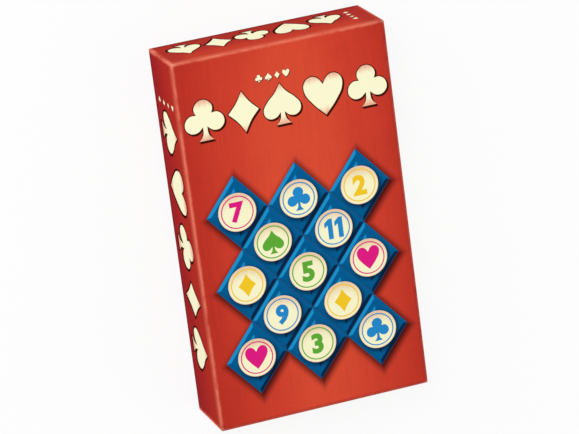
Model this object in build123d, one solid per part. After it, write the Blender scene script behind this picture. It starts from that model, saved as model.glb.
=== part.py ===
from build123d import *
import math
import os

# A travel-size tile rummy game: a lid-and-base box of wrapped greyboard that holds
# four moulded tile racks, 106 numbered tiles, a folded card insert and a rules leaflet.
# The closed box lies on its base. The origin is the centre of the base's underside,
# +Y points to the cover's upper edge and +Z out of the cover. All sizes are in mm.

# The closed box: its width follows from what it holds
case_length = 190.0
case_height = 38.0

# Board and paper
board_thickness = 1.5
board_crease = 0.5  # flat left by the crease on a folded board edge
wrap_thickness = 0.3
wrap_edge_radius = 0.6  # outside edges of the wrapped box
stay_thickness = 0.12
glue_gap = 0.02  # paste between a stay and the wrap
stay_leg = 9.0  # a corner stay reaches this far along each wall
stay_end_gap = 2.0  # from the stay to the folded edge and to the rim
lid_turn_in = 15.0  # wrap glued down inside the rim
base_turn_in = 12.0

# How the lid sits on the base, and the contents in it
lid_gap = 0.4  # between the lid's walls and the base's, each side
rim_gap = 0.8  # the lid's rim stays this far off the table
side_gap = 0.9  # between the widest thing in the case and each side wall

# Tiles
tile_width = 12.0
tile_height = 31.0
tile_thickness = 1.6
tile_crown_radius = 3.2  # the two upper corners
tile_crown_chords = 3  # flats that make up each round corner
rank_count = 13
set_count = 8  # four suits, twice
tile_gap = 0.36  # between stacks standing side by side
stack_slack = 0.14  # hand-stacked tiles lie this far out of line
slip_angles_x = (2.4, 1.7)  # radians per layer and per stack, which scatter the slips
slip_angles_y = (1.9, 2.3)

# Jokers lie on top of two of the stacks, a little turned
joker_stacks = (2, 5)
joker_angles = (4.0, -3.0)

# Tile rack
rack_length = 98.6
rack_wall = 1.2
plate_height = 3.0
plate_corner_radius = 4.5
plate_margin = 2.2  # the plate stands out past the ridges
plate_edge = 0.6
ridge_count = 4
ridge_top_width = 3.4
ridge_edge = 0.45
ridge_end_chords = 6  # flats that make up each round end
back_ridge_height = 16.0
ridge_step = 3.0  # each ridge is lower than the one behind it
groove_depth = 3.6  # below the top of the ridge in front
groove_slack = 0.4  # groove floor wider than the tile
lean_angle = 12.0  # tiles lean back by this much
draft_angle = 2.0
bed_inset = 3.2  # the groove floors stop short of the ridges' ends
ridge_end_wall = 2.7
rib_thickness = 1.0
rib_count = 5
rib_recess = 0.7  # ribs stop short of the rack's rim
rack_count = 4
rack_gap = 0.5

# Folded card insert
card_thickness = 0.5
card_gap = 0.3  # between the card and the base's walls
land_height = 22.0  # above the base's floor
tile_well_slack = 1.6

# Rules leaflet: an A4 sheet folded in three and then in four
leaflet_overhang = 0.2  # past the racks' ends, each side
leaflet_width = 52.5
leaflet_panel = 0.32  # three sheets of paper
leaflet_folds = 4
leaflet_pitch = 0.42
leaflet_back_gap = 1.0  # to the insert's end wall

cut_past = 1.0  # a cutter runs this far beyond what it opens


# Sizes that follow from those above
leaflet_length = rack_length + 2 * leaflet_overhang
tile_row_width = set_count * (tile_width + tile_gap) - tile_gap + 2 * stack_slack
well_width = max(tile_row_width, rack_length, leaflet_length) + 2 * side_gap
base_board_width = well_width + 2 * (board_thickness + wrap_thickness)
wall_stack = board_thickness + 2 * wrap_thickness  # turn-in, board and wrap
case_width = base_board_width + 2 * (wall_stack + lid_gap + wrap_thickness)
lid_board_width = case_width - 2 * wrap_thickness
lid_board_length = case_length - 2 * wrap_thickness
lid_board_height = case_height - rim_gap - 2 * wrap_thickness
base_board_length = case_length - 2 * (wall_stack + lid_gap + wrap_thickness)
base_rim_z = case_height - wrap_thickness - board_thickness
base_board_height = base_rim_z - 2 * wrap_thickness
base_floor_z = wrap_thickness + board_thickness
well_length = base_board_length - 2 * (board_thickness + wrap_thickness)
card_floor_z = base_floor_z + card_thickness

tan_lean = math.tan(math.radians(lean_angle))
cos_lean = math.cos(math.radians(lean_angle))
tan_draft = math.tan(math.radians(draft_angle))
groove_floor = tile_thickness / cos_lean + groove_slack
front_ridge_height = back_ridge_height - (ridge_count - 1) * ridge_step
ridge_pitch = (
    ridge_top_width
    + (ridge_step + groove_depth) * tan_lean
    + groove_floor
    + groove_depth * tan_draft
)
rack_depth = (
    2 * plate_margin
    + (back_ridge_height - plate_height) * tan_draft
    + (ridge_count - 1) * ridge_pitch
    + ridge_top_width
    + (front_ridge_height - plate_height) * tan_lean
)
ridge_length = rack_length - 2 * plate_margin


def folded_edges(block):
    """The edges of a block that are folds: all the standing ones and the lower ones."""
    return block.edges().filter_by(Axis.Z) + block.faces().sort_by(Axis.Z)[0].edges()


def upright(width, length, low, high):
    """Square-cornered block between two heights."""
    return Pos(0, 0, (low + high) / 2) * Box(width, length, high - low)


def board_block(width, length, height):
    """The space inside the wrap that a board tray and its contents fill."""
    block = upright(width, length, 0, height)
    return chamfer(folded_edges(block), board_crease)


def board_tray(width, length, height):
    """Greyboard tray, open at the top, folded up from one blank."""
    room_width = width - 2 * board_thickness
    room_length = length - 2 * board_thickness
    room = upright(room_width, room_length, board_thickness, height + cut_past)
    return board_block(width, length, height) - room


def corner_stays(width, length, height, thickness=stay_thickness):
    """Paper tape folded round the four corners of a board tray."""
    low, high = board_crease + stay_end_gap, height - stay_end_gap
    taped = upright(width + 2 * thickness, length + 2 * thickness, low, high)
    taped = chamfer(taped.edges().filter_by(Axis.Z), board_crease)
    sleeve = taped - board_block(width, length, height)
    legs = 2 * stay_leg
    middle = upright(width - legs, length + legs, 0, height)
    middle += upright(width + legs, length - legs, 0, height)
    return sleeve - middle


def paper_wrap(width, length, height, turn_in):
    """Printed paper round a board tray, folded over its rim and glued down inside."""
    grow = 2 * wrap_thickness
    outside = upright(width + grow, length + grow, -wrap_thickness, height + wrap_thickness)
    outside = fillet(folded_edges(outside), wrap_edge_radius)
    room_width = width - 2 * board_thickness
    room_length = length - 2 * board_thickness
    mouth = upright(room_width - grow, room_length - grow, 0, height + cut_past)
    band = upright(room_width, room_length, height - turn_in, height) - mouth
    wrap = outside - board_block(width, length, height) - mouth + band
    return wrap - corner_stays(width, length, height, stay_thickness + glue_gap)


def lid_place(shape):
    """Turns a tray over and puts it where the closed lid is."""
    return Pos(0, 0, case_height - wrap_thickness) * Rot(180, 0, 0) * shape


def base_place(shape):
    """Puts a tray where the base is."""
    return Pos(0, 0, wrap_thickness) * shape


def ridge_top(index):
    """Height of a ridge, 0 being the tall one at the back."""
    return back_ridge_height - index * ridge_step


def ridge_rear(index, z):
    """Depth of a ridge's rear face at a height."""
    first = rack_depth / 2 - plate_margin - (back_ridge_height - plate_height) * tan_draft
    return first - index * ridge_pitch + (ridge_top(index) - z) * tan_draft


def ridge_front(index, z):
    """Depth of a ridge's front face at a height: it leans back with the tiles."""
    top_edge = ridge_rear(index, ridge_top(index)) - ridge_top_width
    return top_edge - (ridge_top(index) - z) * tan_lean


def groove_z(index):
    """Height of the groove floor in front of a ridge."""
    return ridge_top(index + 1) - groove_depth


def ridge_section(index, z, inset):
    """Outline of a ridge at a height, with round ends, drawn in by an inset."""
    front = ridge_front(index, z) + inset
    rear = ridge_rear(index, z) - inset
    radius = (rear - front) / 2
    straight = ridge_length - 2 * inset - 2 * (z - plate_height) * tan_draft - 2 * radius
    points = []
    for side in (1, -1):
        for chord in range(ridge_end_chords + 1):
            turn = math.pi * (chord / ridge_end_chords - 0.5)
            x = side * (straight / 2 + radius * math.cos(turn))
            points.append((x, (front + rear) / 2 + side * radius * math.sin(turn)))
    return Pos(0, 0, z) * make_face(Polyline(*points, close=True))


def ridge(index):
    """One ridge: drafted, with round ends and eased top edges."""
    top = ridge_top(index)
    sections = [
        ridge_section(index, plate_height / 2, 0),
        ridge_section(index, top - ridge_edge, 0),
        ridge_section(index, top, ridge_edge),
    ]
    return loft(sections, ruled=True)


def groove_bed(index):
    """Solid between a ridge and the next one in front, up to the groove floor."""
    low, high = plate_height / 2, groove_z(index)
    front = ridge_front(index + 1, high) + ridge_top_width / 2
    rear = ridge_rear(index, high) - ridge_top_width / 2
    bed = Box(ridge_length - 2 * bed_inset, rear - front, high - low)
    return Pos(0, (front + rear) / 2, (low + high) / 2) * bed


def rack_plate():
    """Foot plate with round corners and an eased top edge."""
    outline = RectangleRounded(rack_length, rack_depth, plate_corner_radius)
    plate = extrude(outline, plate_height)
    return chamfer(plate.faces().sort_by(Axis.Z)[-1].edges(), plate_edge)


def rack_hollow():
    """The open underside: it follows the ridges at one wall thickness, between ribs."""
    last = ridge_count - 1
    points = [(ridge_front(last, 0) + rack_wall / cos_lean, 0)]
    for index in range(last, -1, -1):
        roof = ridge_top(index) - rack_wall
        points.append((ridge_front(index, roof) + rack_wall / cos_lean, roof))
        points.append((ridge_rear(index, roof) - rack_wall, roof))
        if index > 0:
            under = groove_z(index - 1) - rack_wall
            points.append((ridge_rear(index, under) - rack_wall, under))
            behind = ridge_front(index - 1, under) + rack_wall / cos_lean
            points.append((behind, under))
    points.append((ridge_rear(0, 0) - rack_wall, 0))
    profile = Plane.YZ * make_face(Polyline(*points, close=True))
    half_length = ridge_length / 2 - ridge_end_wall
    hollow = extrude(profile, half_length, both=True)

    inset = 2 * rack_wall
    tray = RectangleRounded(
        rack_length - inset, rack_depth - inset, plate_corner_radius - rack_wall
    )
    hollow += extrude(tray, plate_height - rack_wall)

    rib_height = back_ridge_height - rib_recess
    for number in range(rib_count):
        share = (number + 1) / (rib_count + 1) - 0.5
        rib = Box(rib_thickness, rack_depth, rib_height)
        hollow -= Pos(share * 2 * half_length, 0, rib_recess + rib_height / 2) * rib
    return hollow


def tile_rack():
    """One rack, standing on its rim with the low ridge in front."""
    rack = rack_plate()
    for index in range(ridge_count):
        rack += ridge(index)
    for index in range(ridge_count - 1):
        rack += groove_bed(index)
    return rack - rack_hollow()


def tile():
    """One tile lying on its back, its crown towards +Y."""
    points = [(-tile_width / 2, -tile_height / 2), (tile_width / 2, -tile_height / 2)]
    for side in (1, -1):
        for chord in range(tile_crown_chords + 1):
            share = chord if side == 1 else tile_crown_chords - chord
            turn = math.pi / 2 * share / tile_crown_chords
            x = tile_width / 2 - tile_crown_radius * (1 - math.cos(turn))
            y = tile_height / 2 - tile_crown_radius * (1 - math.sin(turn))
            points.append((side * x, y))
    return extrude(make_face(Polyline(*points, close=True)), tile_thickness)


def stack_x(column):
    """Centre of a stack of tiles across the box."""
    return (column - (set_count - 1) / 2) * (tile_width + tile_gap)


def tile_place(column, layer):
    """Where a tile lies in its stack, a little out of line as hands leave it."""
    slip_x = stack_slack * math.sin(slip_angles_x[0] * layer + slip_angles_x[1] * column)
    slip_y = 2 * stack_slack * math.cos(slip_angles_y[0] * layer + slip_angles_y[1] * column)
    z = card_floor_z + layer * tile_thickness
    return Pos(stack_x(column) + slip_x, tile_well_y + slip_y, z)


def rank_tiles(rank):
    """The eight tiles of one number, one in each stack, number 1 on top."""
    layer = rank_count - rank
    return Compound(children=[tile_place(c, layer) * tile() for c in range(set_count)])


def joker_tiles():
    """The two jokers, each on top of a stack."""
    return Compound(
        children=[
            tile_place(column, rank_count) * Rot(0, 0, turn) * tile()
            for column, turn in zip(joker_stacks, joker_angles)
        ]
    )


# Places along the box, from the tile well at -Y to the rack well at +Y
card_end = well_length / 2 - card_gap
tile_well_length = tile_height + tile_well_slack
tile_well_y = -card_end + card_thickness + tile_well_length / 2
land_front = tile_well_y + tile_well_length / 2
rack_well_length = rack_count * rack_depth + (rack_count + 1) * rack_gap
land_rear = card_end - card_thickness - rack_well_length


def folded_sheet(path, thickness, width):
    """Sheet creased at each point of a path in Y and Z, and as wide as given in X."""
    section = Plane.YZ * trace(Polyline(*path), thickness)
    return extrude(section, width / 2, both=True)


def card_insert():
    """One folded card: an end wall, the tile well, a raised land, the rack well, an end wall."""
    half = card_thickness / 2
    floor, top = base_floor_z + half, base_floor_z + land_height - half
    path = [
        (-card_end + half, top + half),
        (-card_end + half, floor),
        (land_front + half, floor),
        (land_front + half, top),
        (land_rear - half, top),
        (land_rear - half, floor),
        (card_end - half, floor),
        (card_end - half, top + half),
    ]
    return folded_sheet(path, card_thickness, well_width - 2 * card_gap)


def rules_leaflet():
    """Concertina of folded paper, lying on the tall ridges of the last two racks."""
    low = card_floor_z + back_ridge_height + leaflet_panel / 2
    rear = card_end - card_thickness - leaflet_back_gap - leaflet_panel / 2
    front = rear - leaflet_width + leaflet_panel
    path = []
    for number in range(leaflet_folds):
        z = low + number * leaflet_pitch
        ends = (front, rear) if number % 2 == 0 else (rear, front)
        path += [(end, z) for end in ends]
    return folded_sheet(path, leaflet_panel, leaflet_length)


def rack_y(number):
    """Centre of a rack along the box, number 1 being nearest the land."""
    return land_rear + rack_gap + rack_depth / 2 + (number - 1) * (rack_depth + rack_gap)


def make_parts():
    """Every separate piece by name."""
    lid = (lid_board_width, lid_board_length, lid_board_height)
    base = (base_board_width, base_board_length, base_board_height)
    parts = {
        "lid_board": lid_place(board_tray(*lid)),
        "lid_corner_stays": lid_place(corner_stays(*lid)),
        "lid_wrap": lid_place(paper_wrap(*lid, lid_turn_in)),
        "base_board": base_place(board_tray(*base)),
        "base_corner_stays": base_place(corner_stays(*base)),
        "base_wrap": base_place(paper_wrap(*base, base_turn_in)),
        "card_insert": card_insert(),
        "rules_leaflet": rules_leaflet(),
        "joker_tiles": joker_tiles(),
    }
    rack = tile_rack()
    for number in range(1, rack_count + 1):
        parts[f"rack_{number}"] = Pos(0, rack_y(number), card_floor_z) * rack
    for rank in range(1, rank_count + 1):
        parts[f"tiles_rank_{rank}"] = rank_tiles(rank)
    return parts


os.makedirs("parts", exist_ok=True)
for name, shape in make_parts().items():
    export_step(shape, f"parts/{name}.step")
    print(name, len(shape.solids()))
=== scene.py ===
import math

import bmesh
import bpy
from mathutils import Matrix, Vector


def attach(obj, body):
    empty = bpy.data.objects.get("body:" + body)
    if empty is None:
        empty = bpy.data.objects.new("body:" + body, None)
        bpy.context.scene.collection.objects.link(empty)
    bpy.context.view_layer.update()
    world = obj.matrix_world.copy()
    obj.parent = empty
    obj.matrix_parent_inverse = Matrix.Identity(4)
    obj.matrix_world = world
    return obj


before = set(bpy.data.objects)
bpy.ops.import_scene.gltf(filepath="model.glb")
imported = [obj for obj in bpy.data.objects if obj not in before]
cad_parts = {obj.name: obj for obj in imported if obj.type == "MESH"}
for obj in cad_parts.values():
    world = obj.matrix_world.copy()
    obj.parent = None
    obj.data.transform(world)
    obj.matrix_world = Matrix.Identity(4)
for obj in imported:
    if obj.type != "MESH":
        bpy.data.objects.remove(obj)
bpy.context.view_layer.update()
mm = 0.001
print("frame loaded:", len(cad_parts), "nodes")


def ink(red, green, blue):
    # screen values from 0 to 255 as the linear colour that a shader takes
    values = [v / 255 for v in (red, green, blue)]
    linear = [v / 12.92 if v <= 0.04045 else ((v + 0.055) / 1.055) ** 2.4 for v in values]
    return (*linear, 1.0)


class Reading:
    # wraps a socket so that shader maths reads as ordinary sums
    def __init__(self, graph, socket):
        self.graph, self.socket = graph, socket

    def __add__(self, other): return self.graph.work("ADD", self, other)
    def __radd__(self, other): return self.graph.work("ADD", other, self)
    def __sub__(self, other): return self.graph.work("SUBTRACT", self, other)
    def __rsub__(self, other): return self.graph.work("SUBTRACT", other, self)
    def __mul__(self, other): return self.graph.work("MULTIPLY", self, other)
    def __rmul__(self, other): return self.graph.work("MULTIPLY", other, self)
    def __truediv__(self, other): return self.graph.work("DIVIDE", self, other)
    def __rtruediv__(self, other): return self.graph.work("DIVIDE", other, self)
    def __pow__(self, other): return self.graph.work("POWER", self, other)
    def __abs__(self): return self.graph.work("ABSOLUTE", self)


class Graph:
    # an emptied node tree and the ways to fill it
    def __init__(self, owner):
        owner.use_nodes = True
        self.tree = owner.node_tree
        self.tree.nodes.clear()

    def node(self, kind, settings=None, inputs=None):
        made = self.tree.nodes.new(kind)
        for key, value in (settings or {}).items():
            setattr(made, key, value)
        for key, value in (inputs or {}).items():
            self.feed(made.inputs[key], value)
        return made

    def feed(self, socket, value):
        if isinstance(value, Reading):
            self.tree.links.new(value.socket, socket)
        else:
            socket.default_value = value

    def read(self, made, output=0):
        return Reading(self, made.outputs[output])

    def work(self, operation, *values):
        settings = {"operation": operation}
        return self.read(self.node("ShaderNodeMath", settings, dict(enumerate(values))))

    def lower(self, a, b): return self.work("MINIMUM", a, b)
    def higher(self, a, b): return self.work("MAXIMUM", a, b)

    def fade(self, start, end, value):
        # 0 up to start, 1 from end on, smooth between them; start may be the greater of the two
        settings = {"interpolation_type": "SMOOTHSTEP"}
        inputs = {0: value, 1: start, 2: end, 3: 0.0, 4: 1.0}
        return self.read(self.node("ShaderNodeMapRange", settings, inputs))

    def mix(self, share, first, second):
        settings = {"data_type": "RGBA", "clamp_factor": True}
        return self.read(self.node("ShaderNodeMix", settings, {0: share, 6: first, 7: second}), 2)

    def tint(self, colour, factor):
        # a colour made lighter or darker by a number
        plain = colour if isinstance(colour, Reading) else colour[:3]
        settings = {"operation": "SCALE"}
        return self.read(self.node("ShaderNodeVectorMath", settings, {0: plain, 3: factor}))

    def split(self, vector):
        made = self.node("ShaderNodeSeparateXYZ", None, {0: vector})
        return [self.read(made, n) for n in range(3)]

    def join(self, x, y, z):
        return self.read(self.node("ShaderNodeCombineXYZ", None, {0: x, 1: y, 2: z}))

    def place(self):
        # where a point is in the model, in millimetres
        coordinates = self.read(self.node("ShaderNodeTexCoord"), "Object")
        return tuple(part * (1 / mm) for part in self.split(coordinates))

    def motif(self):
        # where a point is in its own printed shape, in millimetres
        u, v, _ = self.split(self.read(self.node("ShaderNodeUVMap", {"uv_map": "motif"})))
        return u, v

    def noise(self, spot, fineness, detail=3.0, roughness=0.6):
        # fineness is bumps to the millimetre: one number, or one for each of x, y and z
        each = fineness if isinstance(fineness, tuple) else (fineness,) * 3
        vector = self.join(*(part * fine for part, fine in zip(spot, each)))
        inputs = {"Vector": vector, "Scale": 1.0, "Detail": detail, "Roughness": roughness}
        return self.read(self.node("ShaderNodeTexNoise", {"noise_dimensions": "3D"}, inputs))

    def seenWhite(self):
        # 1 for rays that show the background: straight, in a reflection or through glass
        path = self.node("ShaderNodeLightPath")
        kinds = [self.read(path, f"Is {kind} Ray") for kind in ("Camera", "Glossy", "Transmission")]
        return self.lower(kinds[0] + kinds[1] + kinds[2], 1.0)


class Look(Graph):
    # one material, built round a Principled shader
    def __init__(self, name, **shaderValues):
        self.material = bpy.data.materials.new(name)
        super().__init__(self.material)
        self.shader = self.node("ShaderNodeBsdfPrincipled")
        surface = {"Surface": self.read(self.shader)}
        self.output = self.node("ShaderNodeOutputMaterial", None, surface)
        for key, value in shaderValues.items():
            self.set(key.replace("_", " "), value)

    def set(self, name, value):
        self.feed(self.shader.inputs[name], value)

    def bump(self, height, strength, rise):
        # strength from 0 to 1, rise in millimetres
        inputs = {"Strength": strength, "Distance": rise * mm, "Height": height}
        self.set("Normal", self.read(self.node("ShaderNodeBump", None, inputs)))

    def canvas(self, spot):
        # the streaks of a printed canvas, along y and along x
        return self.noise(spot, (1.6, 0.045, 1.6)), self.noise(spot, (0.05, 1.3, 0.05))


def dress(material, *nodes):
    for name in nodes:
        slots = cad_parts[name].data.materials
        slots.clear()
        slots.append(material)


# in what follows a Fade is where a tone starts and where it is full, and a Share is how strong
# it then is

# the printed panel on the cover: staggered lozenges, with a cream roundel on each; a ring is a
# share of its roundel, and its inside a share of the ring
lozenges = {
    "halfWidth": 16.0, "halfLength": 19.0, "gap": 0.05, "reach": 2, "middle": (0.0, -23.0),
    "light": ink(24, 146, 204), "blue": ink(0, 92, 146), "dark": ink(2, 38, 70),
    "steps": 3.0, "facetTurn": 0.7,
    "panelShadow": ink(40, 8, 10), "panelDrop": (0.8, -1.4), "panelFade": (-0.34, 0.1),
    "panelShare": 0.9,
    "discShadow": ink(0, 20, 44), "discDrop": (0.7, -1.0), "discFade": (2.4, -1.0),
    "discShare": 0.8,
}
roundels = {
    "radius": 9.8, "ring": 0.86, "ringInside": 0.93, "suitHeight": 12.0, "numberHeight": 10.6,
    "cream": ink(252, 248, 206), "tan": ink(226, 176, 140), "tanFade": (0.3, 1.15),
    "tanShare": 0.8, "rim": ink(250, 214, 180), "rimFade": (0.93, 0.99),
}

# the printed paper round the lid: red with canvas-like streaks, paler along its folds where they
# are rubbed and where a highlight is painted, and darkened by painted shade along its rim and
# beside its far folds
lidPaper = {
    "halfWidth": 55.0, "halfLength": 95.0, "height": 38.0,
    "coverFold": (1.6, 0.5), "endFold": (1.0, 0.2),
    "bright": ink(218, 76, 51), "ground": ink(206, 63, 45), "edge": ink(188, 51, 38),
    "groundFade": (0.02, 0.32), "edgeFade": (0.3, 0.95),
    "brightest": (3.0, 45.0), "brightReach": (59.0, 140.0), "brightLean": 0.35,
    "side": ink(177, 37, 26), "sideRim": ink(160, 23, 28), "sideFade": (30.0, 4.0),
    "end": ink(200, 58, 38), "endCorner": ink(181, 49, 37), "cornerFade": (42.0, 50.0),
    "endRim": ink(179, 45, 36), "endFade": (30.0, 19.0),
    # painted shade along the lower rim
    "rimShade": ink(98, 14, 22), "rimShadeFade": (5.0, 1.0), "rimShadeShare": 0.5,
    # the pale fold colour is partly rubbed wear and partly a painted highlight, and the band at the
    # top of the sides is a painted highlight
    "paleEdge": ink(240, 132, 106), "paleEdgeOnCover": 1.7, "paleEdgeOnSide": 2.4,
    "sideHighlightFade": (6.5, 0.5), "sideHighlightShare": 0.37,
    # the far folds get less of the painted highlight, and a dark line of painted shade runs beside
    # them
    "farRight": (50.0, 53.0), "farLower": (-90.0, -93.0), "farHighlightCut": 0.6,
    "shadeLine": ink(142, 36, 34), "shadeLineFade": (2.2, 0.9), "shadeLineShare": 0.6,
    "core": ink(246, 196, 172), "coreFade": (3.2, 0.9), "coreShare": 0.25,
}


def coverTone(look, x, y):
    # brightest at one point and darker towards the edges, more slowly downwards
    across, along = x - lidPaper["brightest"][0], y - lidPaper["brightest"][1]
    along = abs(along) * (1 - lidPaper["brightLean"]) + along * lidPaper["brightLean"]
    reachX, reachY = lidPaper["brightReach"]
    away = (across / reachX) ** 2 + (along / reachY) ** 2
    ground = look.fade(*lidPaper["groundFade"], away)
    tone = look.mix(ground, lidPaper["bright"], lidPaper["ground"])
    return look.mix(look.fade(*lidPaper["edgeFade"], away), tone, lidPaper["edge"])


def underPanel(look, x, y):
    # 1 in the soft shadow of the panel, whose edge zigzags from lozenge to lozenge
    (middleX, middleY), (dropX, dropY) = lozenges["middle"], lozenges["panelDrop"]
    across = (x - middleX - dropX) / lozenges["halfWidth"]
    along = (y - middleY - dropY) / lozenges["halfLength"]
    cells = lozenges["reach"] + 1
    insideX = cells - look.work("PINGPONG", along, 1.0) - abs(across)
    insideY = cells - look.work("PINGPONG", across, 1.0) - abs(along)
    return look.fade(*lozenges["panelFade"], look.lower(insideX, insideY))


def sideTone(look, x, y, z):
    # the long sides are deepest at the rim, the ends palest in the middle of their upper part, and
    # painted shade darkens both along the lower rim
    sides = look.mix(look.fade(*lidPaper["sideFade"], z), lidPaper["side"], lidPaper["sideRim"])
    corner = look.fade(*lidPaper["cornerFade"], abs(x))
    ends = look.mix(corner, lidPaper["end"], lidPaper["endCorner"])
    ends = look.mix(look.fade(*lidPaper["endFade"], z), ends, lidPaper["endRim"])
    far, near = lidPaper["endFold"]
    onEnd = look.fade(lidPaper["halfLength"] - far, lidPaper["halfLength"] - near, abs(y))
    tone = look.mix(onEnd, sides, ends)
    # painted shade along the lower rim of the sides and ends
    under = look.fade(*lidPaper["rimShadeFade"], z) * lidPaper["rimShadeShare"]
    return look.mix(under, tone, lidPaper["rimShade"])


def lidPaperLook():
    look = Look("lidPaper", Specular_IOR_Level=0.01)
    spot = x, y, z = look.place()
    fromSide = lidPaper["halfWidth"] - abs(x)
    fromEnd = lidPaper["halfLength"] - abs(y)
    fromTop = lidPaper["height"] - z
    toCorner = fromSide + fromEnd + fromTop
    nearest = look.lower(look.lower(fromSide, fromEnd), fromTop)
    farthest = look.higher(look.higher(fromSide, fromEnd), fromTop)
    toFold = toCorner - nearest - farthest

    cover = coverTone(look, x, y)
    shadow = underPanel(look, x, y) * lozenges["panelShare"]
    cover = look.mix(shadow, cover, lozenges["panelShadow"])
    far, near = lidPaper["coverFold"]
    onCover = look.fade(lidPaper["height"] - far, lidPaper["height"] - near, z)
    colour = look.mix(onCover, sideTone(look, x, y, z), cover)
    down, over = look.canvas(spot)
    blotch = look.noise(spot, 0.05, 2.0, 0.5)
    streaks = 1 + (down - 0.5) * 0.3 + (over - 0.5) * 0.12 + (blotch - 0.5) * 0.12
    colour = look.tint(colour, streaks)

    # the painted highlight is weaker on the right-hand folds and the cover's lower one, which are
    # turned from the light, and on the cover a dark line of painted shade runs beside them
    farFold = look.fade(*lidPaper["farRight"], x)
    farFold = look.higher(farFold, look.fade(*lidPaper["farLower"], y) * onCover)
    line = look.fade(*lidPaper["shadeLineFade"], toFold) * farFold * onCover
    colour = look.mix(line * lidPaper["shadeLineShare"], colour, lidPaper["shadeLine"])

    # the folds are pale in patches, partly rubbed and partly a painted highlight, widest on the
    # sides, which have a painted highlight as a pale band at their top
    scuff = look.noise(spot, (0.35, 0.35, 0.6), 3.0, 0.65)
    width = lidPaper["paleEdgeOnSide"] + (lidPaper["paleEdgeOnCover"] - lidPaper["paleEdgeOnSide"]) * onCover
    paleEdge = look.fade(1.0, 0.15, toFold / width + (scuff - 0.5) * 0.6)
    paleEdge = paleEdge * (1 - farFold * lidPaper["farHighlightCut"])
    paleEdge = paleEdge * look.fade(0.2, 0.55, look.noise(spot, 0.09))
    sideHighlight = look.fade(*lidPaper["sideHighlightFade"], fromTop) * (1 - onCover) * lidPaper["sideHighlightShare"]
    colour = look.mix(look.higher(paleEdge * (0.9 - onCover * 0.2), sideHighlight), colour, lidPaper["paleEdge"])
    # at the corners' tips the paper's pale core shows
    tip = look.fade(*lidPaper["coreFade"], toCorner + (scuff - 0.5) * 3)
    look.set("Base Color", look.mix(tip * lidPaper["coreShare"], colour, lidPaper["core"]))
    fibre = look.noise(spot, 6, 4.0)
    look.set("Roughness", 0.6 + (fibre - 0.5) * 0.2 + paleEdge * 0.2)
    look.bump(down * 0.5 + over * 0.4 + fibre * 0.5, 0.25, 0.05)
    return look.material


# the base's paper is plain red, deeper towards the bottom, and worn where the lid slides
basePaper = {
    "halfWidth": 52.5, "halfLength": 92.5, "height": 36.2,
    "red": ink(196, 44, 36), "deep": ink(168, 32, 34), "redFade": (4.0, 34.0),
    "paleEdge": ink(222, 112, 92), "uprightFade": (2.5, 0.2), "rimFade": (1.0, 0.1),
}


def basePaperLook():
    look = Look("basePaper", Specular_IOR_Level=0.02)
    spot = x, y, z = look.place()
    down, over = look.canvas(spot)
    colour = look.mix(look.fade(*basePaper["redFade"], z), basePaper["deep"], basePaper["red"])
    colour = look.tint(colour, 1 + (down - 0.5) * 0.3 + (over - 0.5) * 0.2)
    # worn at the upright folds and along the rim
    toUpright = look.higher(basePaper["halfWidth"] - abs(x), basePaper["halfLength"] - abs(y))
    upright = look.fade(*basePaper["uprightFade"], toUpright)
    rim = look.fade(*basePaper["rimFade"], abs(basePaper["height"] - z))
    scuff = look.noise(spot, (0.4, 0.4, 0.2))
    wear = look.higher(upright * 0.4, rim * 0.35) * look.fade(0.42, 0.7, scuff)
    look.set("Base Color", look.mix(wear, colour, basePaper["paleEdge"]))
    fibre = look.noise(spot, 6, 4.0)
    look.set("Roughness", 0.42 + (fibre - 0.5) * 0.2 + wear * 0.2)
    look.bump(fibre * 0.6 + down * 0.4, 0.25, 0.05)
    return look.material


# plain boards and papers: their colours, how fine the fibres are, and how deep
boards = {
    "greyboard": {
        "pale": ink(168, 161, 149), "dark": ink(140, 132, 120), "speck": ink(96, 88, 78),
        "grain": 1.0, "roughness": 0.85, "depth": 0.35,
    },
    "stayPaper": {
        "pale": ink(222, 204, 168), "dark": ink(202, 182, 142), "speck": ink(170, 146, 108),
        "grain": 1.2, "roughness": 0.85, "depth": 0.35,
    },
    "insertCard": {
        "pale": ink(238, 235, 228), "dark": ink(226, 222, 214), "speck": ink(206, 200, 190),
        "grain": 0.8, "roughness": 0.7, "depth": 0.2,
    },
    "leafletPaper": {
        "pale": ink(244, 242, 236), "dark": ink(236, 233, 226), "speck": ink(222, 218, 210),
        "grain": 1.4, "roughness": 0.75, "depth": 0.15,
    },
}


def boardLook(name):
    # soft mottle, short fibres along y and a few specks
    board, look = boards[name], Look(name, Specular_IOR_Level=0.3)
    spot, grain = look.place(), board["grain"]
    mottle = look.noise(spot, 0.25 * grain, 4.0)
    fibre = look.noise(spot, (3.2 * grain, 0.9 * grain, 3.2 * grain), 5.0, 0.65)
    dots = look.noise(spot, 2.6 * grain, 1.0, 0.4)
    pulp = look.fade(0.3, 0.7, mottle * 0.5 + fibre * 0.5)
    colour = look.mix(pulp, board["dark"], board["pale"])
    colour = look.mix(look.fade(0.68, 0.76, dots) * 0.6, colour, board["speck"])
    look.set("Base Color", colour)
    look.set("Roughness", board["roughness"] + (fibre - 0.5) * 0.15)
    look.bump(fibre, board["depth"], 0.08)
    return look.material


tilePlastic = {"cream": ink(252, 244, 208), "warm": ink(246, 230, 186), "roughness": 0.22}


def tilePlasticLook():
    # cream with faint warm swirls, and a gloss that handling has made uneven
    look = Look("tilePlastic", Coat_Weight=0.25, Coat_Roughness=0.08, IOR=1.49)
    spot = look.place()
    swirl = look.fade(0.35, 0.7, look.noise(spot, (0.12, 0.05, 0.6), 4.0, 0.55))
    look.set("Base Color", look.mix(swirl, tilePlastic["cream"], tilePlastic["warm"]))
    handled = look.noise(spot, 0.9, 5.0)
    look.set("Roughness", tilePlastic["roughness"] + (handled - 0.5) * 0.25)
    look.bump(handled, 0.06, 0.05)
    return look.material


rackPlastic = {"blue": ink(0, 98, 164), "pale": ink(10, 116, 186), "roughness": 0.3}


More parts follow.
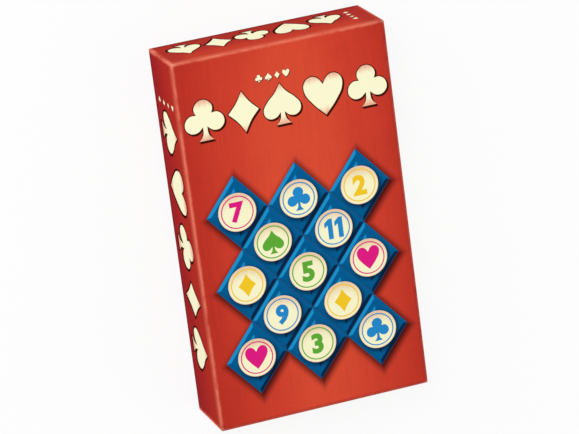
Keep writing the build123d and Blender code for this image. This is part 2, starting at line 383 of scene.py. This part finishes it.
def rackPlasticLook():
    # faint flow marks along the rack, and a fine spark-eroded grain
    look = Look("rackPlastic", Coat_Weight=0.1, Coat_Roughness=0.15, IOR=1.5)
    spot = look.place()
    flow = look.fade(0.4, 0.75, look.noise(spot, (0.05, 0.35, 0.35), 4.0))
    look.set("Base Color", look.mix(flow, rackPlastic["blue"], rackPlastic["pale"]))
    grain = look.noise(spot, 9, 3.0, 0.7)
    scuff = look.fade(0.55, 0.75, look.noise(spot, (0.5, 1.5, 1.5), 4.0))
    look.set("Roughness", rackPlastic["roughness"] + (grain - 0.5) * 0.16 + scuff * 0.12)
    look.bump(grain, 0.12, 0.06)
    return look.material


inks = {
    "yellow": ink(245, 200, 22), "blue": ink(18, 134, 200), "magenta": ink(222, 0, 126),
    "green": ink(88, 168, 44), "black": ink(24, 22, 22), "leafletGrey": ink(150, 150, 152),
    "outline": ink(66, 20, 12),
}
inkFinish = {"gloss": 0.2, "outlineGloss": 0.0, "unevenness": 0.12, "roughness": 0.4}


def inkLook(name):
    # solid printed ink with a little unevenness; the outline has no gloss, which would haze it
    gloss = inkFinish["outlineGloss" if name == "outline" else "gloss"]
    look = Look(name + "Ink", Specular_IOR_Level=gloss)
    uneven = look.noise(look.place(), 0.8, 4.0) - 0.5
    look.set("Base Color", look.tint(inks[name], 1 + uneven * inkFinish["unevenness"]))
    look.set("Roughness", inkFinish["roughness"] + uneven * 0.12)
    return look.material


# reach is how far from a suit's middle its cream turns pink, in millimetres
creamPrint = {
    "cream": ink(255, 252, 212), "blush": ink(238, 166, 138),
    "blushFade": (0.55, 1.05), "blushShare": 0.9,
    "reach": {"largeCream": 10.0, "sideCream": 10.5, "smallCream": 2.6},
}


def creamLook(name):
    # cream print that turns pink at its upper and lower edges
    look = Look(name, Specular_IOR_Level=0.05)
    u, v = look.motif()
    streak = look.noise((u, v, look.place()[0]), (1.6, 0.12, 0.02)) - 0.5
    away = abs(v) / creamPrint["reach"][name] + streak * 0.6
    blush = look.fade(*creamPrint["blushFade"], away) * creamPrint["blushShare"]
    look.set("Base Color", look.mix(blush, creamPrint["cream"], creamPrint["blush"]))
    look.set("Roughness", 0.38 + streak * 0.15)
    return look.material


def lozengeLook():
    # steps that rise to the middle, lit on their upper left and shaded on their lower right
    look = Look("lozengePrint", Specular_IOR_Level=0.03)
    u, v = look.motif()
    out = abs(u) / lozenges["halfWidth"] + abs(v) / lozenges["halfLength"]
    step = look.work("FRACT", out * lozenges["steps"] + 0.02)
    turn = lozenges["facetTurn"]
    lit = look.fade(turn, -turn, u) * 0.45 + look.fade(-turn, turn, v) * 0.55
    riser = look.fade(0.5, 0.62, step) * look.fade(1.0, 0.94, step)
    brush = look.noise((*look.place()[:2], 6.0), 0.5, 4.0) - 0.5
    tread = 0.42 + brush * 0.3 + (1 - out) * 0.12
    tone = tread + riser * (lit - 0.5) * 1.25
    colour = look.mix(look.fade(0.0, 0.5, tone), lozenges["dark"], lozenges["blue"])
    colour = look.mix(look.fade(0.5, 1.0, tone), colour, lozenges["light"])
    dropU, dropV = lozenges["discDrop"]
    away = ((u - dropU) ** 2 + (v - dropV) ** 2) ** 0.5
    shade = look.fade(*lozenges["discFade"], away - roundels["radius"]) * lozenges["discShare"]
    look.set("Base Color", look.mix(shade, colour, lozenges["discShadow"]))
    look.set("Roughness", 0.4 + brush * 0.12)
    return look.material


def roundelLook():
    # cream that turns tan towards its upper edge, inside a thin pale rim
    look = Look("roundelPrint", Specular_IOR_Level=0.05)
    u, v = look.motif()
    away = (u ** 2 + v ** 2) ** 0.5 / roundels["radius"]
    mottle = look.noise((u, v, look.place()[0]), (0.3, 0.3, 0.03)) - 0.5
    upward = away * 0.55 + v / roundels["radius"] * 0.5 + mottle * 0.3
    warm = look.fade(*roundels["tanFade"], upward) * roundels["tanShare"]
    colour = look.mix(warm, roundels["cream"], roundels["tan"])
    rim = look.fade(*roundels["rimFade"], away)
    look.set("Base Color", look.mix(rim, colour, roundels["rim"]))
    look.set("Roughness", 0.38 + mottle * 0.12)
    return look.material


looks = {
    "lidPaper": lidPaperLook(), "basePaper": basePaperLook(), "tile": tilePlasticLook(),
    "rack": rackPlasticLook(), "lozenge": lozengeLook(), "roundel": roundelLook(),
}
looks.update({name: boardLook(name) for name in boards})
looks.update({name: inkLook(name) for name in inks})
looks.update({name: creamLook(name) for name in creamPrint["reach"]})

tileNodes = [f"tiles_rank_{n}" for n in range(1, 14)] + ["joker_tiles"]
rackNodes = [f"rack_{n}" for n in range(1, 5)]
dress(looks["lidPaper"], "lid_wrap")
dress(looks["basePaper"], "base_wrap")
dress(looks["greyboard"], "lid_board", "base_board")
dress(looks["stayPaper"], "lid_corner_stays", "base_corner_stays")
dress(looks["insertCard"], "card_insert")
dress(looks["leafletPaper"], "rules_leaflet")
dress(looks["tile"], *tileNodes)
dress(looks["rack"], *rackNodes)
print("materials made:", len(looks))


# half outlines of the suits, two units tall, from the top round the right-hand side
suitHalves = {
    "heart": [
        (0, 0.52, "VECTOR"), (0.25, 0.86, "AUTO"), (0.56, 0.97, "AUTO"), (0.9, 0.76, "AUTO"),
        (0.96, 0.3, "AUTO"), (0.6, -0.34, "AUTO"), (0, -1, "VECTOR"),
    ],
    "spade": [
        (0, 1, "VECTOR"), (0.28, 0.58, "AUTO"), (0.72, 0.16, "AUTO"), (0.93, -0.24, "AUTO"),
        (0.76, -0.6, "AUTO"), (0.4, -0.64, "AUTO"), (0.09, -0.4, "VECTOR"),
        (0.15, -0.74, "AUTO"), (0.36, -1, "VECTOR"),
    ],
    "diamond": [
        (0, 1, "VECTOR"), (0.33, 0.46, "AUTO"), (0.76, 0, "VECTOR"), (0.33, -0.46, "AUTO"),
        (0, -1, "VECTOR"),
    ],
    "club": [
        (0, 1, "AUTO"), (0.36, 0.82, "AUTO"), (0.46, 0.54, "AUTO"), (0.38, 0.3, "VECTOR"),
        (0.72, 0.28, "AUTO"), (0.98, -0.1, "AUTO"), (0.82, -0.48, "AUTO"),
        (0.44, -0.56, "AUTO"), (0.1, -0.32, "VECTOR"), (0.15, -0.74, "AUTO"),
        (0.36, -1, "VECTOR"),
    ],
}
# plain bold digits, one unit tall; the 1 is drawn here, with a short flag
digitStyle = {
    "bold": 0.05, "gap": 0.1,
    "one": [(0.14, -0.5), (0.14, 0.5), (-0.04, 0.5), (-0.26, 0.31), (-0.26, 0.08),
            (-0.1, 0.19), (-0.1, -0.5)],
}


def addObject(name, data):
    added = bpy.data.objects.new(name, data)
    bpy.context.scene.collection.objects.link(added)
    return added


def meshOf(work, name):
    mesh = bpy.data.meshes.new(name)
    work.to_mesh(mesh)
    work.free()
    return mesh


def meshFrom(curve):
    # a curve or text as a mesh with its doubles merged
    holder = addObject("holder", curve)
    shaped = holder.evaluated_get(bpy.context.evaluated_depsgraph_get())
    mesh = bpy.data.meshes.new_from_object(shaped)
    bpy.data.objects.remove(holder)
    work = bmesh.new()
    work.from_mesh(mesh)
    bmesh.ops.remove_doubles(work, verts=work.verts, dist=1e-5)
    work.to_mesh(mesh)
    work.free()
    return mesh


def outlineMesh(points, rounds=5):
    # a flat shape inside a closed outline
    curve = bpy.data.curves.new("outline", "CURVE")
    curve.dimensions, curve.fill_mode = "2D", "BOTH"
    curve.extrude, curve.resolution_u = 0.5, rounds
    spline = curve.splines.new("BEZIER")
    spline.bezier_points.add(len(points) - 1)
    spline.use_cyclic_u = True
    for knot, (x, y, kind) in zip(spline.bezier_points, points):
        knot.co = (x, y, 0)
        knot.handle_left_type = knot.handle_right_type = kind
    return meshFrom(curve)


def suitMesh(name, swell=0.0, sharp=1.4):
    # a suit two units tall; swell moves its outline outward, and its sharp points sharp times
    # as far
    half = suitHalves[name]
    outline = half + [(-x, y, kind) for x, y, kind in reversed(half) if x > 0]
    moved = []
    for n, (x, y, kind) in enumerate(outline):
        before, after = outline[n - 1], outline[(n + 1) % len(outline)]
        outward = Vector((before[1] - after[1], after[0] - before[0])).normalized()
        outward *= swell * (sharp if kind == "VECTOR" else 1.0)
        moved.append((x + outward.x, y + outward.y, kind))
    return outlineMesh(moved)


def reachOf(mesh, axis=0):
    # a shape's lowest and highest place along an axis
    places = [v.co[axis] for v in mesh.vertices]
    return min(places), max(places)


def digitMesh(digit):
    if digit == "1":
        return outlineMesh([(x, y, "VECTOR") for x, y in digitStyle["one"]], 1)
    curve = bpy.data.curves.new("digit" + digit, "FONT")
    curve.body, curve.offset = digit, digitStyle["bold"]
    curve.extrude, curve.resolution_u = 0.5, 3
    mesh = meshFrom(curve)
    low, high = reachOf(mesh, 1)
    size = 1 / (high - low)
    centring = Matrix.Translation((0, -(high + low) / 2, 0))
    mesh.transform(Matrix.Diagonal((size, size, 1, 1)) @ centring)
    return mesh


def numberMesh(number):
    # a number's digits side by side, round the middle
    work, left = bmesh.new(), 0.0
    for digit in str(number):
        first = len(work.verts)
        work.from_mesh(digits[digit])
        work.verts.ensure_lookup_table()
        low, high = reachOf(digits[digit])
        bmesh.ops.translate(work, verts=work.verts[first:], vec=(left - low, 0, 0))
        left += high - low + digitStyle["gap"]
    middle = (left - digitStyle["gap"]) / 2
    bmesh.ops.translate(work, verts=work.verts[:], vec=(-middle, 0, 0))
    return meshOf(work, "number")


def thickened(work, name):
    # flat faces one unit thick, half of it each way, as a mesh
    risen = bmesh.ops.extrude_face_region(work, geom=work.faces[:])
    top = [g for g in risen["geom"] if isinstance(g, bmesh.types.BMVert)]
    bmesh.ops.translate(work, verts=top, vec=(0, 0, 1))
    bmesh.ops.translate(work, verts=work.verts[:], vec=(0, 0, -0.5))
    bmesh.ops.recalc_face_normals(work, faces=work.faces[:])
    return meshOf(work, name)


def slabMesh(corners, radius=1.0, turn=0.0):
    # a regular slab, with a corner at its top unless it is turned
    work = bmesh.new()
    bmesh.ops.create_circle(work, cap_ends=True, segments=corners, radius=radius)
    turning = Matrix.Rotation(turn, 3, "Z")
    bmesh.ops.rotate(work, verts=work.verts[:], matrix=turning)
    return thickened(work, "slab")


def ringMesh(inner, corners):
    work = bmesh.new()
    for radius in (1.0, inner):
        bmesh.ops.create_circle(work, segments=corners, radius=radius)
    bmesh.ops.bridge_loops(work, edges=work.edges[:])
    return thickened(work, "ring")


def starMesh(points, waist):
    # a circle of twice as many corners, every other one drawn in
    work = bmesh.new()
    made = bmesh.ops.create_circle(work, cap_ends=True, segments=points * 2, radius=1.0)
    bmesh.ops.scale(work, verts=made["verts"][1::2], vec=(waist, waist, 1))
    return thickened(work, "star")


film = 0.0055  # mm between one layer of print and the next


class PrintRun:
    # gathers thin printed shapes into one piece
    def __init__(self, name, *lookNames):
        self.name, self.lookNames = name, lookNames
        self.sheet = bmesh.new()
        self.motif = self.sheet.loops.layers.uv.new("motif")

    def stamp(self, shape, place, size, look=0, layer=1):
        # size is the mm to one unit of the shape: one number, or one across and one along;
        # look counts the run's materials from 0, and layer the films of print from 1
        across, along = size if isinstance(size, tuple) else (size, size)
        first = len(self.sheet.faces)
        self.sheet.from_mesh(shape)
        self.sheet.faces.ensure_lookup_table()
        faces = self.sheet.faces[first:]
        corners = list({v for f in faces for v in f.verts})
        # one film of it is sunk, so that nothing shows between it and what carries it
        thick = (layer + 1) * film
        bmesh.ops.scale(self.sheet, verts=corners, vec=(across, along, thick))
        bmesh.ops.translate(self.sheet, verts=corners, vec=(0, 0, thick / 2 - film))
        for face in faces:
            face.material_index = look
            for loop in face.loops:
                loop[self.motif].uv = loop.vert.co.xy
        bmesh.ops.transform(self.sheet, verts=corners, matrix=Matrix.Scale(mm, 4) @ place)

    def finish(self, body, slot):
        mesh = meshOf(self.sheet, self.name)
        for lookName in self.lookNames:
            mesh.materials.append(looks[lookName])
        piece = addObject(self.name, mesh)
        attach(piece, body)


def shift(x, y):
    # a move across and along, in mm
    return Matrix.Translation((x, y, 0))


def facing(spot, right, up):
    # a place on any face: right and up are the print's own directions
    right, up = Vector(right), Vector(up)
    turned = Matrix((right, up, right.cross(up))).transposed().to_4x4()
    return Matrix.Translation(spot) @ turned


suits = {name: suitMesh(name) for name in suitHalves}
digits = {digit: digitMesh(digit) for digit in "0123456789"}
numbers = {n: numberMesh(n) for n in range(1, 14)}
disc = slabMesh(56)
rhombus = slabMesh(4)
bar = slabMesh(4, math.sqrt(2), math.pi / 4)
print("print shapes made")

# a row of large suits along the cover's upper edge, and a row of small ones above it
largeRow = {
    "order": ("club", "diamond", "spade", "heart", "club"), "height": 20.6, "gap": 2.3,
    "x": 0.0, "y": 64.4, "outline": 0.5, "drop": (0.5, -0.65),
}
smallRow = {
    "order": ("club", "spade", "diamond", "heart"), "height": 3.7, "gap": 1.4,
    "x": -5.2, "y": 79.2, "outline": 0.14, "drop": (0.25, -0.3),
}
coverTop = lidPaper["height"]


def spread(names, height, gap):
    # the suits of a row and their centres, with equal gaps between them
    reaches = [reachOf(suits[name]) for name in names]
    widths = [(high - low) * height / 2 for low, high in reaches]
    left = -(sum(widths) + gap * (len(names) - 1)) / 2
    centres = []
    for width in widths:
        centres.append(left + width / 2)
        left += width + gap
    return list(zip(names, centres))


def stampSuit(run, name, place, height, outline, drop):
    # a cream suit on a dark outline, and under them the outline again as a drop shadow
    wider = suitMesh(name, 2 * outline / height)
    run.stamp(wider, place @ shift(*drop), height / 2, 1, 1)
    run.stamp(wider, place, height / 2, 1, 2)
    run.stamp(suits[name], place, height / 2, 0, 3)


for title, cream, row in (
    ("cover_large_suits", "largeCream", largeRow),
    ("cover_small_suits", "smallCream", smallRow),
):
    run = PrintRun(title, cream, "outline")
    for name, x in spread(row["order"], row["height"], row["gap"]):
        place = Matrix.Translation((row["x"] + x, row["y"], coverTop))
        stampSuit(run, name, place, row["height"], row["outline"], row["drop"])
    run.finish("lid", "lid_paper")

# the panel's marks, row by row from the top
roundelMarks = (
    ("7", "magenta"), ("club", "blue"), ("2", "yellow"),
    ("spade", "green"), ("11", "blue"),
    ("diamond", "yellow"), ("5", "green"), ("heart", "magenta"),
    ("9", "blue"), ("diamond", "yellow"),
    ("heart", "magenta"), ("3", "green"), ("club", "blue"),
)
markInks = ("yellow", "blue", "magenta", "green")
panel = PrintRun("cover_lozenges", "lozenge")
discs = PrintRun("cover_roundels", "roundel")
marks = PrintRun("cover_marks", *markInks)
ring = ringMesh(roundels["ringInside"], 56)
rhombusSize = lozenges["halfWidth"] - lozenges["gap"], lozenges["halfLength"] - lozenges["gap"]
cells = range(-lozenges["reach"], lozenges["reach"] + 1)
spots = [(i, j) for j in reversed(cells) for i in cells if (i + j) % 2 == 0]
for (i, j), (mark, markInk) in zip(spots, roundelMarks):
    x = lozenges["middle"][0] + i * lozenges["halfWidth"]
    y = lozenges["middle"][1] + j * lozenges["halfLength"]
    place = Matrix.Translation((x, y, coverTop))
    inkIndex = markInks.index(markInk)
    panel.stamp(rhombus, place, rhombusSize, 0, 1)
    discs.stamp(disc, place, roundels["radius"], 0, 2)
    marks.stamp(ring, place, roundels["radius"] * roundels["ring"], inkIndex, 3)
    if mark in suits:
        marks.stamp(suits[mark], place, roundels["suitHeight"] / 2, inkIndex, 3)
    else:
        marks.stamp(numbers[int(mark)], place, roundels["numberHeight"], inkIndex, 3)
for run in (panel, discs, marks):
    run.finish("lid", "lid_paper")
print("cover printed:", len(spots), "lozenges")

# suits on the four sides: the large ones stand towards the cover's edge, and beside each
# row is a column of small ones
sidePrint = {
    "order": ("spade", "heart", "club", "diamond", "spade"),
    "longHeight": 23.0, "longGap": 7.2, "longY": 0.9, "longZ": 18.8,
    "longOutline": 1.2, "longDrop": (0.55, -0.7),
    "endHeight": 17.4, "endGap": 2.4, "endX": 4.0, "endZ": 15.6,
    "endOutline": 0.9, "endDrop": (0.4, -0.5),
    "smallY": 71.0, "smallHeight": 3.0, "smallPitch": 7.1, "smallZ": 19.2,
    "smallOutline": 0.11, "smallDrop": (0.18, -0.2),
    "endSmallX": 45.0, "endSmallHeight": 2.6, "endSmallPitch": 4.7, "endSmallZ": 17.0,
    "endSmallOutline": 0.09, "endSmallDrop": (0.15, -0.18),
}


def stampSide(run, kind, name, place):
    height, outline, drop = (sidePrint[kind + word] for word in ("Height", "Outline", "Drop"))
    stampSuit(run, name, place, height, outline, drop)


longSide, endSide = lidPaper["halfWidth"], lidPaper["halfLength"]
run = PrintRun("side_suits", "sideCream", "outline")
small = PrintRun("side_small_suits", "smallCream", "outline")
for side in (-1, 1):
    for name, along in spread(sidePrint["order"], sidePrint["longHeight"], sidePrint["longGap"]):
        spot = side * longSide, side * (sidePrint["longY"] + along), sidePrint["longZ"]
        stampSide(run, "long", name, facing(spot, (0, side, 0), (0, 0, 1)))
    for name, along in spread(sidePrint["order"], sidePrint["endHeight"], sidePrint["endGap"]):
        spot = -side * (sidePrint["endX"] + along), side * endSide, sidePrint["endZ"]
        stampSide(run, "end", name, facing(spot, (-side, 0, 0), (0, 0, 1)))
    for n, name in enumerate(smallRow["order"]):
        rise = n - (len(smallRow["order"]) - 1) / 2
        z = sidePrint["smallZ"] + rise * sidePrint["smallPitch"]
        spot = side * longSide, -side * sidePrint["smallY"], z
        stampSide(small, "small", name, facing(spot, (0, 0, 1), (0, -side, 0)))
        z = sidePrint["endSmallZ"] + rise * sidePrint["endSmallPitch"]
        spot = side * sidePrint["endSmallX"], side * endSide, z
        stampSide(small, "endSmall", name, facing(spot, (0, 0, 1), (side, 0, 0)))
run.finish("lid", "lid_paper")
small.finish("lid", "lid_paper")
print("sides printed")

# the tiles: number, bar and suit on every face, as the stacks lie in the base
tileLay = {
    "pitch": 12.36, "slack": 0.14, "thickness": 1.6, "floor": 2.3, "y": -73.3,
    "count": 8, "ranks": 13, "slipAnglesX": (2.4, 1.7), "slipAnglesY": (1.9, 2.3),
}
tilePrint = {
    "order": ("heart", "club", "diamond", "spade"),
    "inks": {"heart": "magenta", "club": "blue", "diamond": "yellow", "spade": "green"},
    "numberY": 8.2, "numberHeight": 7.6, "numberWidth": 8.8,
    "barY": 2.6, "barSize": (8.6, 0.8), "suitY": -3.4, "suitHeight": 7.8,
}


def tilePlace(column, layer):
    # the top face of a tile in its stack, as the solids lie
    layerX, columnX = tileLay["slipAnglesX"]
    layerY, columnY = tileLay["slipAnglesY"]
    slipX = tileLay["slack"] * math.sin(layerX * layer + columnX * column)
    slipY = 2 * tileLay["slack"] * math.cos(layerY * layer + columnY * column)
    x = (column - (tileLay["count"] - 1) / 2) * tileLay["pitch"] + slipX
    z = tileLay["floor"] + (layer + 1) * tileLay["thickness"]
    return Matrix.Translation((x, tileLay["y"] + slipY, z))


for rank in range(1, tileLay["ranks"] + 1):
    run = PrintRun(f"tile_print_{rank}", *markInks)
    left, right = reachOf(numbers[rank])
    width = min(tilePrint["numberHeight"], tilePrint["numberWidth"] / (right - left))
    for column in range(tileLay["count"]):
        suit = tilePrint["order"][(column + rank) % 4]
        inkIndex = markInks.index(tilePrint["inks"][suit])
        place = tilePlace(column, tileLay["ranks"] - rank)
        size = width, tilePrint["numberHeight"]
        run.stamp(numbers[rank], place @ shift(0, tilePrint["numberY"]), size, inkIndex)
        size = tilePrint["barSize"][0] / 2, tilePrint["barSize"][1] / 2
        run.stamp(bar, place @ shift(0, tilePrint["barY"]), size, inkIndex)
        size = tilePrint["suitHeight"] / 2
        run.stamp(suits[suit], place @ shift(0, tilePrint["suitY"]), size, inkIndex)
    run.finish("base", "tile_plastic")

# a ringed star on each joker, and a small star at each end, which points outward; a joker
# lies on a stack, turned by some degrees
jokerPrint = {
    "stacks": ((2, 4.0), (5, -3.0)), "points": 5, "waist": 0.42, "ringInside": 0.84,
    "ringSize": 3.3, "starSize": 2.6, "smallStarSize": 1.5, "smallStarY": 9.5,
}
run = PrintRun("joker_print", "black")
ring = ringMesh(jokerPrint["ringInside"], 40)
star = starMesh(jokerPrint["points"], jokerPrint["waist"])
for column, angle in jokerPrint["stacks"]:
    place = tilePlace(column, tileLay["ranks"]) @ Matrix.Rotation(math.radians(angle), 4, "Z")
    run.stamp(ring, place, jokerPrint["ringSize"])
    run.stamp(star, place, jokerPrint["starSize"])
    for turn in (math.pi, 0.0):
        spot = Matrix.Rotation(turn, 4, "Z") @ shift(0, jokerPrint["smallStarY"])
        run.stamp(star, place @ spot, jokerPrint["smallStarSize"])
run.finish("base", "tile_plastic")
print("tiles printed:", tileLay["ranks"], "numbers")

# the leaflet's front panel: two small diagrams of laid-out tiles
leafletPrint = {
    "top": 19.88, "middle": (0.0, 62.35), "tile": (7.6, 12.0), "pitch": 9.4, "line": 0.35,
    "numberY": 2.8, "numberHeight": 3.6, "suitY": -2.8, "suitHeight": 3.4,
    "layouts": (
        ((-20.0, 9.0), ((4, "heart"), (5, "heart"), (6, "heart"), (7, "heart"))),
        ((20.0, -9.0), ((9, "club"), (9, "spade"), (9, "diamond"))),
    ),
}


def stampLeafletTile(run, place, number, suit):
    # four thin bars for the tile's outline, and its number and suit inside
    width, height, line = *leafletPrint["tile"], leafletPrint["line"]
    for across, along in ((0, 1), (0, -1), (1, 0), (-1, 0)):
        size = (line / 2, height / 2) if across else (width / 2, line / 2)
        run.stamp(bar, place @ shift(across * width / 2, along * height / 2), size)
    inkIndex = 1 + markInks.index(tilePrint["inks"][suit])
    spot = place @ shift(0, leafletPrint["numberY"])
    run.stamp(numbers[number], spot, leafletPrint["numberHeight"], inkIndex)
    spot = place @ shift(0, leafletPrint["suitY"])
    run.stamp(suits[suit], spot, leafletPrint["suitHeight"] / 2, inkIndex)


run = PrintRun("leaflet_print", "leafletGrey", *markInks)
for (left, rise), tiles in leafletPrint["layouts"]:
    for n, (number, suit) in enumerate(tiles):
        along = (n - (len(tiles) - 1) / 2) * leafletPrint["pitch"]
        x = leafletPrint["middle"][0] + left + along
        y = leafletPrint["middle"][1] + rise
        place = Matrix.Translation((x, y, leafletPrint["top"]))
        stampLeafletTile(run, place, number, suit)
run.finish("base", "leaflet_paper")
print("leaflet printed")

# soft edges on the tiles and racks, whose loose triangles are welded first
softEdges = {"tile": 0.28, "rack": 0.3, "weld": 0.002, "segments": 2, "sharpAngle": 24}


def soften(width, *nodes):
    for name in nodes:
        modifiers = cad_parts[name].modifiers
        modifiers.new("weld", "WELD").merge_threshold = softEdges["weld"] * mm
        bevel = modifiers.new("bevel", "BEVEL")
        bevel.width, bevel.segments = width * mm, softEdges["segments"]
        bevel.limit_method, bevel.angle_limit = "ANGLE", math.radians(softEdges["sharpAngle"])


soften(softEdges["tile"], *tileNodes)
soften(softEdges["rack"], *rackNodes)
print("edges softened:", len(tileNodes + rackNodes), "nodes")

# floor, backdrop and lamps
studio = {
    "floorSize": 6.0, "floorZ": -0.02 * mm, "floorWhite": 0.95, "floorLift": 0.86, "world": 0.5,
    "keyPlace": (-0.55, 0.75, 1.5), "keySize": 0.9, "keyPower": 11.5,
    "sidePlace": (-1.0, 0.75, 0.5), "sideSize": 1.0, "sidePower": 3.9,
    "fillPlace": (1.0, -0.7, 0.7), "fillSize": 1.2, "fillPower": 3.6,
    "aim": (0.0, 0.0, 0.02),
}
white = (1.0, 1.0, 1.0, 1.0)
work = bmesh.new()
ground = Matrix.Translation((0, 0, studio["floorZ"]))
bmesh.ops.create_grid(work, x_segments=1, y_segments=1, size=studio["floorSize"] / 2, matrix=ground)
floor = addObject("floor", meshOf(work, "floor"))
floorLook = Look("floorWhite", Roughness=0.9, Base_Color=(studio["floorWhite"],) * 3 + (1.0,))
glow = floorLook.read(floorLook.node("ShaderNodeEmission", None, {"Color": white, "Strength": 1.0}))
lift = floorLook.seenWhite() * studio["floorLift"]
blend = {0: lift, 1: floorLook.read(floorLook.shader), 2: glow}
blended = floorLook.read(floorLook.node("ShaderNodeMixShader", None, blend))
floorLook.feed(floorLook.output.inputs["Surface"], blended)
floor.data.materials.append(floorLook.material)

world = bpy.data.worlds.new("studio")
bpy.context.scene.world = world
sky = Graph(world)
strength = studio["world"] + sky.seenWhite() * (1 - studio["world"])
backdrop = sky.read(sky.node("ShaderNodeBackground", None, {"Color": white, "Strength": strength}))
sky.node("ShaderNodeOutputWorld", None, {"Surface": backdrop})


def areaLamp(name):
    lamp = bpy.data.lights.new(name + "Lamp", "AREA")
    lamp.shape, lamp.size, lamp.energy = "DISK", studio[name + "Size"], studio[name + "Power"]
    holder = addObject(name + "Lamp", lamp)
    holder.location = studio[name + "Place"]
    towards = Vector(studio["aim"]) - Vector(studio[name + "Place"])
    holder.rotation_euler = towards.to_track_quat("-Z", "Y").to_euler()


for name in ("key", "side", "fill"):
    areaLamp(name)

# the camera looks down on the case as it lies, with the cover's upper edge away from it
view = {
    "place": (-0.5172, 0.5717, 1.7452), "forward": (0.2735, -0.3022, -0.9132),
    "up": (0.2110, 0.9451, -0.2495), "focalPixels": 3805.6, "imageWidth": 579,
    "sensor": 36.0, "clipEnd": 20.0,
}
forward = Vector(view["forward"]).normalized()
right = forward.cross(Vector(view["up"])).normalized()
up = right.cross(forward)
cameraData = bpy.data.cameras.new("camera")
cameraData.sensor_width, cameraData.clip_end = view["sensor"], view["clipEnd"]
cameraData.lens = view["focalPixels"] * view["sensor"] / view["imageWidth"]
camera = addObject("camera", cameraData)
camera.matrix_world = facing(view["place"], right, up)
bpy.context.scene.camera = camera
bpy.context.scene.view_settings.view_transform = "Standard"
print("stage, lamps and camera set")
